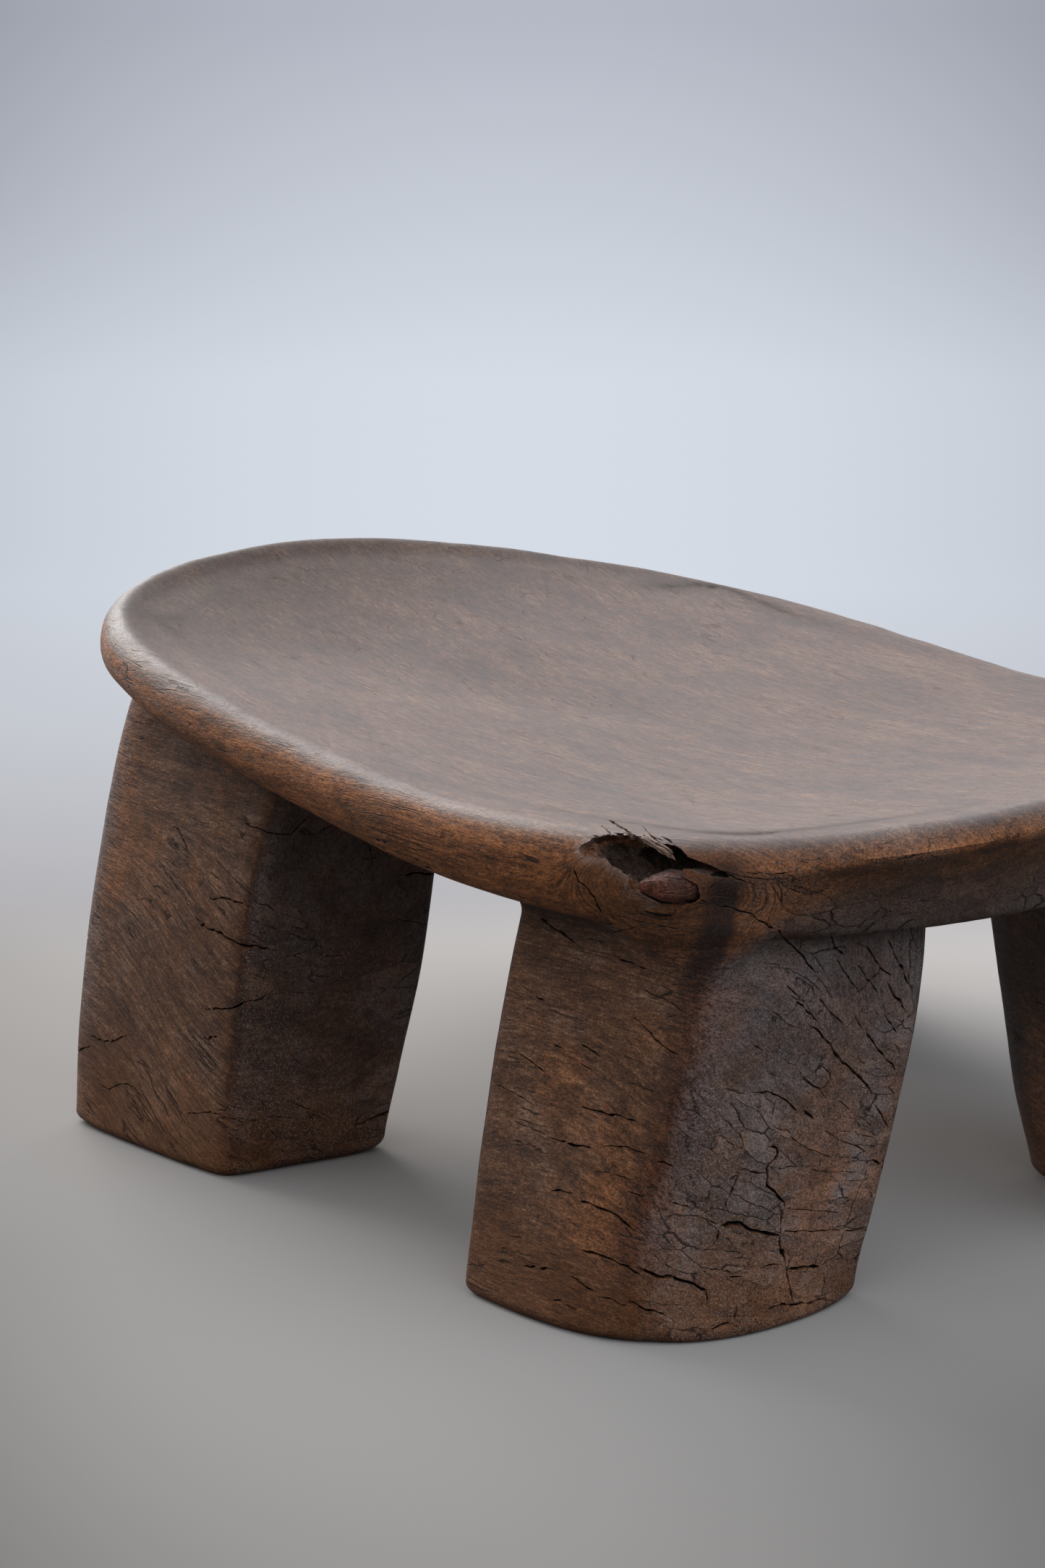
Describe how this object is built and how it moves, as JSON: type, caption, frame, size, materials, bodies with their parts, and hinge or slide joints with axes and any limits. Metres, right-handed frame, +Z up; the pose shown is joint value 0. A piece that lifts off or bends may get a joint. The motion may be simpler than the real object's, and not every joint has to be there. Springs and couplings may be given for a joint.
{
  "type": "carved wooden stool",
  "caption": "Low carved hardwood stool with a shallow dished, warped seat of blunt square outline on splayed legs of diamond section.",
  "frame": {"origin": "centre of the bounding box on the floor plane, under the seat", "axes": "+Z up from the floor; +Y away from the leg with the broken rim and the knot; +X to the right when that leg faces the viewer"},
  "size_m": [0.3694, 0.3738, 0.1589],
  "materials": {
    "seat_wood": "old dark hardwood, hand-worn to a soft sheen on top",
    "leg_wood": "old dark hardwood, adzed, checked and cracked, lightly polished on its ridges",
    "knot_wood": "hard dead knot, reddish brown, glossy from handling"
  },
  "bodies": {
    "root": {"seat": "seat_wood", "front_leg": "leg_wood", "left_leg": "leg_wood", "right_leg": "leg_wood", "back_leg": "leg_wood", "rim_knot": "knot_wood"}
  },
  "joints": []
}
